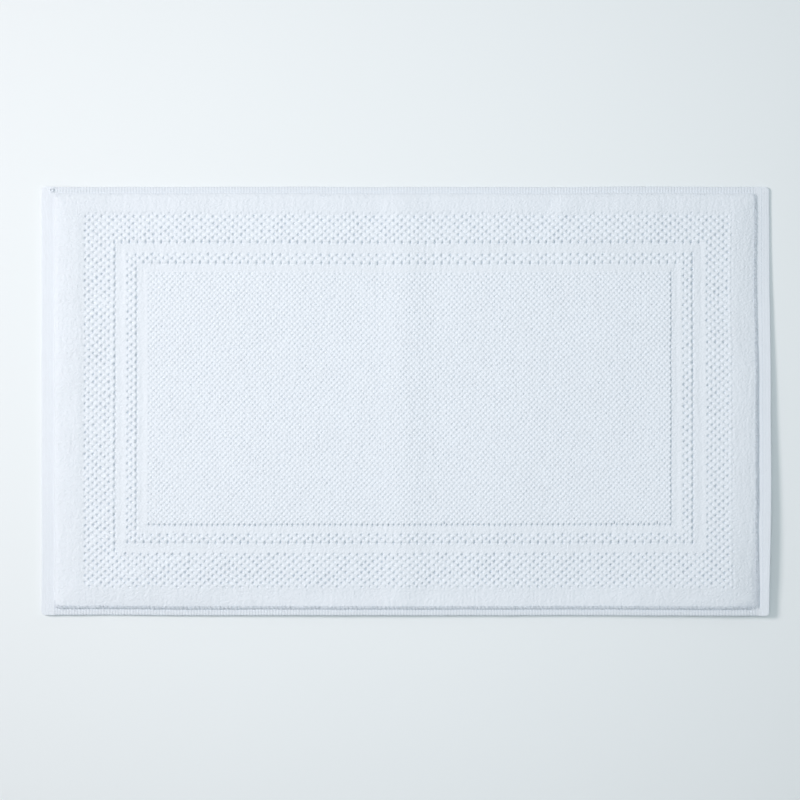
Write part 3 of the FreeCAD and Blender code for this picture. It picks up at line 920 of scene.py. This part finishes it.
def hem_mesh(name, side, node, step, stations):
    """A folded hem: the section carried along the side, with the weave's ribs raised on it."""
    start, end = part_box(node)
    face = np.array(FACING[side])
    run = np.array((-face[1], face[0]))
    width = (end.x - start.x) if face[0] else (end.y - start.y)
    half = ((end.y - start.y) if face[0] else (end.x - start.x)) / 2
    pile_edge = {"left": end.x, "right": start.x, "bottom": end.y, "top": start.y}[side] * face.sum()
    section = hem_section(width, end.z, step)
    heading = section[:, 2]
    offset = np.stack([-np.sin(heading), np.cos(heading)], -1) * CLOTH * HALF_SKIN
    # The outline goes out along the outer skin, which has the ribs, and back along the inner one.
    outline = np.concatenate([section[:, :2] + offset, (section[:, :2] - offset)[::-1]])
    bulge = np.concatenate([offset, np.zeros_like(offset)]) / (CLOTH * HALF_SKIN)
    s = np.asarray(stations)[:, None]
    squeeze = np.zeros_like(s)
    if face[0]:
        left_over = np.clip(HEM_CORNER - (half - np.abs(s)), 0, HEM_CORNER)
        squeeze = HEM_CORNER - np.sqrt(HEM_CORNER ** 2 - left_over ** 2)

    def spot(out):
        """X and Y of a point that is so far out from the pile."""
        return [face[k] * (pile_edge + out) + run[k] * s for k in (0, 1)]

    out = outline[None, :, 0] * (1 - squeeze / width)
    x, y = spot(out)
    wave = np.cos(2 * math.pi * x / RIB)
    rib = RIB_HEIGHT[side] * wave + 0.06 * MM * soft_noise(x, y, 2 * MM, 51)
    # Painted shade down in the valleys between the ribs.
    shade = 1 + RIB_SHADE[side] * (wave - 1)
    out = out + rib * bulge[None, :, 0]
    beside_pile = (np.abs(s) < half - DIP_END) * (outline[None, :, 1] > CLOTH)
    dip = HEM_DIP[side] * np.exp(-((out / DIP_WIDTH) ** 2)) * beside_pile
    dip = dip * (1 - 0.9 * ease(y, 0.0, 0.15) * (side == "right"))
    z = outline[None, :, 1] - dip + rib * bulge[None, :, 1] + lie(x, y)
    x, y = spot(out)
    grid = np.arange(x.size).reshape(x.shape)
    wrap = np.concatenate([grid, grid[:, :1]], 1)
    quads = np.stack([wrap[:-1, :-1], wrap[:-1, 1:], wrap[1:, 1:], wrap[1:, :-1]], -1).reshape(-1, 4)
    ends = [grid[0][::-1], grid[-1]]
    loops = np.concatenate([quads.ravel(), *ends])
    totals = [4] * len(quads) + [len(end) for end in ends]
    smooth = np.arange(len(totals)) < len(quads)
    mesh = mesh_from(name, swayed(x, y, z).reshape(-1, 3), loops, totals,
                     smooth=smooth, shade=np.broadcast_to(shade, x.shape).ravel())
    mesh.materials.append(weave)
    return mesh


def even_stations(half, step):
    """Places along a side from -half to half, about a step apart."""
    return np.linspace(-half, half, round(2 * half / step) + 1)


for side in SIDES:
    node = f"hem_{side}"
    start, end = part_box(node)
    if side in ("left", "right"):
        half = (end.y - start.y) / 2
        inner = even_stations(half - CORNER_RUN, 3 * MM)
        corner = np.linspace(half - CORNER_RUN, half, 14)[1:]
        stations = np.concatenate([-corner[::-1], inner, corner])
        mesh = hem_mesh(f"folded_{node}", side, node, RIB / 4, stations)
    else:
        stations = even_stations((end.x - start.x) / 2, RIB / 4)
        mesh = hem_mesh(f"folded_{node}", side, node, NARROW_STEP, stations)
    finished(f"folded_{node}", mesh, "flat_weave", node)

# ------------------------------------------------------------------ hem seams
# White sewing thread in machine stitches, about three and a half millimetres each: the needle
# thread shows on top of the hem and the bobbin thread underneath, pulled down into the cloth.
STITCH = 3.45 * MM
SUNK = 0.05 * MM
WANDER = 0.12


def thread_material():
    made, wire, shader = material("sewing thread", 0.7, sheen=0.1)
    place = wire.add("ShaderNodeTexCoord", out="Object")
    twist = wire.add("ShaderNodeTexWave", {"bands_direction": "DIAGONAL"},
                     {"Vector": place, "Scale": 420.0, "Distortion": 1.0})
    bump = wire.add("ShaderNodeBump", {}, {"Strength": 0.4, "Distance": 0.1 * MM, "Height": twist})
    # Painted shade in the grooves of the twist: the colour is darker where the twist's bump is low.
    colour = blend(wire, twist, (0.76, 0.82, 0.88, 1), (0.83, 0.89, 0.95, 1))
    colour.feed(shader, "Base Color")
    bump.feed(shader, "Normal")
    return made


thread = thread_material()


def stitch_tree():
    """Geometry Nodes: stitches laid end to end along a line, each a little out of true."""
    tree = bpy.data.node_groups.new("machine stitches", "GeometryNodeTree")
    tree.interface.new_socket("Seam", in_out="INPUT", socket_type="NodeSocketGeometry")
    for name in ("Stitch length", "Thread radius", "Wander"):
        tree.interface.new_socket(name, in_out="INPUT", socket_type="NodeSocketFloat")
    tree.interface.new_socket("Thread", in_out="INPUT", socket_type="NodeSocketMaterial")
    tree.interface.new_socket("Stitches", in_out="OUTPUT", socket_type="NodeSocketGeometry")
    wire = Wire(tree)
    given = tree.nodes.new("NodeGroupInput")
    seam, length, radius, wander, cotton = (Wire(tree, given.outputs[k]) for k in range(5))
    line = wire.add("GeometryNodeMeshToCurve", {}, {"Mesh": seam})
    points = wire.add("GeometryNodeCurveToPoints", {"mode": "LENGTH"}, {"Curve": line, "Length": length})
    skew = wire.add("FunctionNodeRandomValue", {"data_type": "FLOAT"},
                    {2: wander * -1.0, 3: wander, "Seed": 7}, out=1)
    turn = wire.add("ShaderNodeCombineXYZ", {}, {"X": 0.0, "Y": math.pi / 2, "Z": 0.0})
    lay = wire.add("FunctionNodeRotateRotation", {"rotation_space": "LOCAL"},
                   {"Rotation": points.other("Rotation"),
                    "Rotate By": wire.add("FunctionNodeEulerToRotation", {}, {0: turn})})
    lean = wire.add("ShaderNodeCombineXYZ", {}, {"X": 0.0, "Y": 0.0, "Z": skew})
    lay = wire.add("FunctionNodeRotateRotation", {"rotation_space": "LOCAL"},
                   {"Rotation": lay, "Rotate By": wire.add("FunctionNodeEulerToRotation", {}, {0: lean})})
    bead = wire.add("GeometryNodeMeshUVSphere", {}, {"Segments": 6, "Rings": 4, "Radius": 1.0})
    size = wire.add("ShaderNodeCombineXYZ", {}, {"X": length * 0.46, "Y": radius, "Z": radius})
    row = wire.add("GeometryNodeInstanceOnPoints", {},
                   {"Points": points, "Instance": bead, "Rotation": lay, "Scale": size})
    solid = wire.add("GeometryNodeRealizeInstances", {}, {"Geometry": row})
    dressed = wire.add("GeometryNodeSetMaterial", {}, {"Geometry": solid, "Material": cotton})
    dressed.feed(tree.nodes.new("NodeGroupOutput"), 0)
    return tree


stitches = stitch_tree()
for side in SIDES:
    face = np.array(FACING[side])
    for kind in ("needle", "bobbin"):
        node = f"{kind}_thread_{side}"
        start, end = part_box(node)
        centre = ((start.x + end.x) / 2, (start.y + end.y) / 2)
        reach = (end.y - start.y if face[0] else end.x - start.x) / 2
        s = even_stations(reach, 2 * MM)
        x = centre[0] + (s if face[1] else np.zeros_like(s))
        y = centre[1] + (s if face[0] else np.zeros_like(s))
        z = (start.z - SUNK if kind == "needle" else end.z) + lie(x, y)
        mesh = grown(f"stitches_{node}", stitches, swayed(x, y, z),
                     **{"Stitch length": STITCH, "Thread radius": end.z - start.z, "Wander": WANDER,
                        "Thread": thread})
        mesh.shade_smooth()
        finished(f"stitches_{node}", mesh, "sewing_thread", node)

# ------------------------------------------------------------------ corner tuck
# At the far left corner the end of the long hem's fold is rolled into a small soft knot, and
# caught under the seam of the side hem.
TUCK_RADIUS = 2.3 * MM
TUCK_YARN = 0.75 * MM
TUCK_TURNS = 1.35
TUCK_FACETS = 10
tuck_x = -pile_high.x - 2.6 * MM
tuck_y = pile_high.y + 3.4 * MM
turns = np.linspace(0, TUCK_TURNS * 2 * math.pi, 46)[:, None]
around = np.linspace(0, 2 * math.pi, TUCK_FACETS, endpoint=False)[None, :]
roll = TUCK_RADIUS * (1 - 0.10 * turns / math.pi)
taper = TUCK_YARN * np.minimum(1, 0.35 + 2.0 * np.minimum(turns, turns[-1] - turns))
x = tuck_x + (roll + taper * np.cos(around)) * np.cos(turns)
y = tuck_y + (roll + taper * np.cos(around)) * np.sin(turns)
z = ground_top + 0.35 * MM + 0.11 * MM * turns + taper * np.sin(around) + lie(x, y)
grid = np.arange(x.size).reshape(x.shape)
wrap = np.concatenate([grid, grid[:, :1]], 1)
quads = np.stack([wrap[:-1, :-1], wrap[1:, :-1], wrap[1:, 1:], wrap[:-1, 1:]], -1).reshape(-1, 4)
# The knot has a little painted shade.
tuck_mesh = mesh_from(
    "corner tuck", swayed(x, y, z).reshape(-1, 3),
    np.concatenate([quads.ravel(), grid[0], grid[-1][::-1]]),
    [4] * len(quads) + [TUCK_FACETS, TUCK_FACETS], shade=np.full(x.size, 0.9))
tuck_mesh.materials.append(weave)
finished("corner_tuck", tuck_mesh, "flat_weave")
